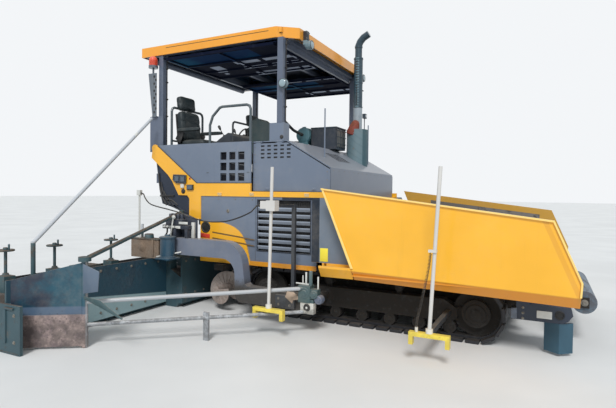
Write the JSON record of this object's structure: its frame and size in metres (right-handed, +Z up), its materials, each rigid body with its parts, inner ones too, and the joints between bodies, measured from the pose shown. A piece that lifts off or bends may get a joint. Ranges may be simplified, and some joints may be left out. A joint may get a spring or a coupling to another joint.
{
  "type": "tracked asphalt paver",
  "caption": "Tracked asphalt paver with a folding hopper, canopy, augers and a wide screed with its braces and level sensors.",
  "frame": {"origin": "middle of the floor area under the machine", "axes": "+X forward to the hopper, +Y to the left across the screed, +Z up"},
  "size_m": [6.4, 7.6, 4.1549],
  "materials": {
    "frame_paint": "satin dark grey paint",
    "engine_metal": "painted cast iron",
    "track_rubber": "rubber pads on dirty steel links",
    "panel_paint": "blue-grey gloss paint, dusty",
    "yellow_paint": "golden yellow gloss paint",
    "roof_paint": "orange-yellow gloss paint",
    "seat_cover": "dark vinyl",
    "awning_sheet": "pale panel",
    "lamp_glass": "lamp housing and lens",
    "beacon_lens": "red-orange lens",
    "exhaust_steel": "heat-dulled steel",
    "worn_steel": "worn bare steel",
    "dirty_steel": "teal paint under dust and asphalt",
    "cable_rubber": "black cable sheath",
    "brace_steel": "plain steel tube"
  },
  "bodies": {
    "tractor": {"chassis": "frame_paint", "engine_block": "engine_metal", "body_frame": "frame_paint", "track_left": "track_rubber", "track_right": "track_rubber", "track_frame_left": "frame_paint", "track_frame_right": "frame_paint", "side_cover_left": "panel_paint", "side_cover_right": "panel_paint", "upper_panel_left": "panel_paint", "upper_panel_right": "panel_paint", "side_band_left": "yellow_paint", "side_band_right": "yellow_paint", "hood": "panel_paint", "deck": "frame_paint", "rear_valves": "frame_paint", "console": "frame_paint", "seat_left": "seat_cover", "seat_right": "seat_cover", "handrails": "panel_paint", "canopy_frame": "frame_paint", "canopy_roof": "roof_paint", "lamps": "lamp_glass", "beacon": "beacon_lens", "exhaust_stack": "exhaust_steel", "muffler_shield": "exhaust_steel", "air_cleaner": "frame_paint", "hopper_rear": "yellow_paint", "conveyor": "worn_steel", "track_scrapers": "dirty_steel", "auger_beam": "frame_paint", "front_sensor_pole": "brace_steel", "tunnel_plates": "frame_paint", "side_plates": "frame_paint", "curly_cable_front": "cable_rubber"},
    "hopper_wing_left": {"hopper_wing_left": "yellow_paint"},
    "hopper_wing_right": {"hopper_wing_right": "yellow_paint"},
    "push_beam": {"push_beam": "frame_paint"},
    "push_roller_left": {"push_roller_left": "worn_steel"},
    "push_roller_right": {"push_roller_right": "worn_steel"},
    "auger_left": {"auger_left": "worn_steel"},
    "auger_right": {"auger_right": "worn_steel"},
    "hood_door_left": {"hood_door_left": "panel_paint"},
    "hood_door_right": {"hood_door_right": "panel_paint"},
    "awning_left": {"awning_left": "awning_sheet"},
    "awning_right": {"awning_right": "awning_sheet"},
    "screed": {"tow_arm_left": "panel_paint", "tow_arm_right": "panel_paint", "screed_main": "dirty_steel", "screed_extension_left": "dirty_steel", "screed_extension_right": "dirty_steel", "screed_fittings": "dirty_steel", "screed_walkway": "frame_paint", "screed_braces": "brace_steel", "sensor_mast": "brace_steel", "sensor_cable": "cable_rubber"},
    "lift_barrel_left": {"lift_barrel_left": "frame_paint"},
    "lift_barrel_right": {"lift_barrel_right": "frame_paint"},
    "lift_rod_left": {"lift_rod_left": "brace_steel"},
    "lift_rod_right": {"lift_rod_right": "brace_steel"}
  },
  "joints": [
    {"name": "wing_left_fold", "type": "hinge", "parent": "tractor", "child": "hopper_wing_left", "pos_m": [1.5, 0.735, 0.705], "axis": [1, 0, 0], "range_deg": [0, 50]},
    {"name": "hood_door_left_lift", "type": "hinge", "parent": "tractor", "child": "hood_door_left", "pos_m": [-0.5, 1.302, 2.257], "axis": [1, 0, 0], "range_deg": [0, 85]},
    {"name": "awning_left_slide", "type": "slide", "parent": "tractor", "child": "awning_left", "axis": [0, 1, 0], "range_m": [-0.65, 0]},
    {"name": "auger_left_turn", "type": "hinge", "parent": "tractor", "child": "auger_left", "pos_m": [-1.202, 0.8, 0.306], "axis": [0, 1, 0], "continuous": true},
    {"name": "push_roller_left_turn", "type": "hinge", "parent": "push_beam", "child": "push_roller_left", "pos_m": [3.08, 0.4, 0.465], "axis": [0, 1, 0], "continuous": true},
    {"name": "wing_right_fold", "type": "hinge", "parent": "tractor", "child": "hopper_wing_right", "pos_m": [1.5, -0.735, 0.705], "axis": [-1, 0, 0], "range_deg": [0, 50]},
    {"name": "hood_door_right_lift", "type": "hinge", "parent": "tractor", "child": "hood_door_right", "pos_m": [-0.5, -1.302, 2.257], "axis": [-1, 0, 0], "range_deg": [0, 85]},
    {"name": "awning_right_slide", "type": "slide", "parent": "tractor", "child": "awning_right", "axis": [0, -1, 0], "range_m": [0, 0.65]},
    {"name": "auger_right_turn", "type": "hinge", "parent": "tractor", "child": "auger_right", "pos_m": [-1.202, -0.8, 0.306], "axis": [0, 1, 0], "continuous": true},
    {"name": "push_roller_right_turn", "type": "hinge", "parent": "push_beam", "child": "push_roller_right", "pos_m": [3.08, -0.4, 0.465], "axis": [0, 1, 0], "continuous": true},
    {"name": "push_beam_swing", "type": "hinge", "parent": "tractor", "child": "push_beam", "pos_m": [2.86, 0, 0.465], "axis": [0, 0, 1], "range_deg": [-6, 6]},
    {"name": "screed_lift", "type": "hinge", "parent": "tractor", "child": "screed", "pos_m": [0.23, 0, 0.32], "axis": [0, 1, 0], "range_deg": [0, 6]},
    {"name": "lift_barrel_left_tilt", "type": "hinge", "parent": "tractor", "child": "lift_barrel_left", "pos_m": [-1.95, 1.2, 1.7], "axis": [0, -1, 0], "range_deg": [0, 2.8]},
    {"name": "lift_rod_left_slide", "type": "slide", "parent": "lift_barrel_left", "child": "lift_rod_left", "axis": [-0.1104, 0, -0.9939], "range_m": [-0.2435, 0]},
    {"name": "lift_barrel_right_tilt", "type": "hinge", "parent": "tractor", "child": "lift_barrel_right", "pos_m": [-1.95, -1.2, 1.7], "axis": [0, -1, 0], "range_deg": [0, 2.8]},
    {"name": "lift_rod_right_slide", "type": "slide", "parent": "lift_barrel_right", "child": "lift_rod_right", "axis": [-0.1104, 0, -0.9939], "range_m": [-0.2435, 0]}
  ],
  "couplings": [
    {"joint": "lift_barrel_left_tilt", "follows": "screed_lift", "ratio": 0.444},
    {"joint": "lift_rod_left_slide", "follows": "screed_lift", "m_per_rad": -2.3015},
    {"joint": "lift_barrel_right_tilt", "follows": "screed_lift", "ratio": 0.444},
    {"joint": "lift_rod_right_slide", "follows": "screed_lift", "m_per_rad": -2.3015}
  ]
}
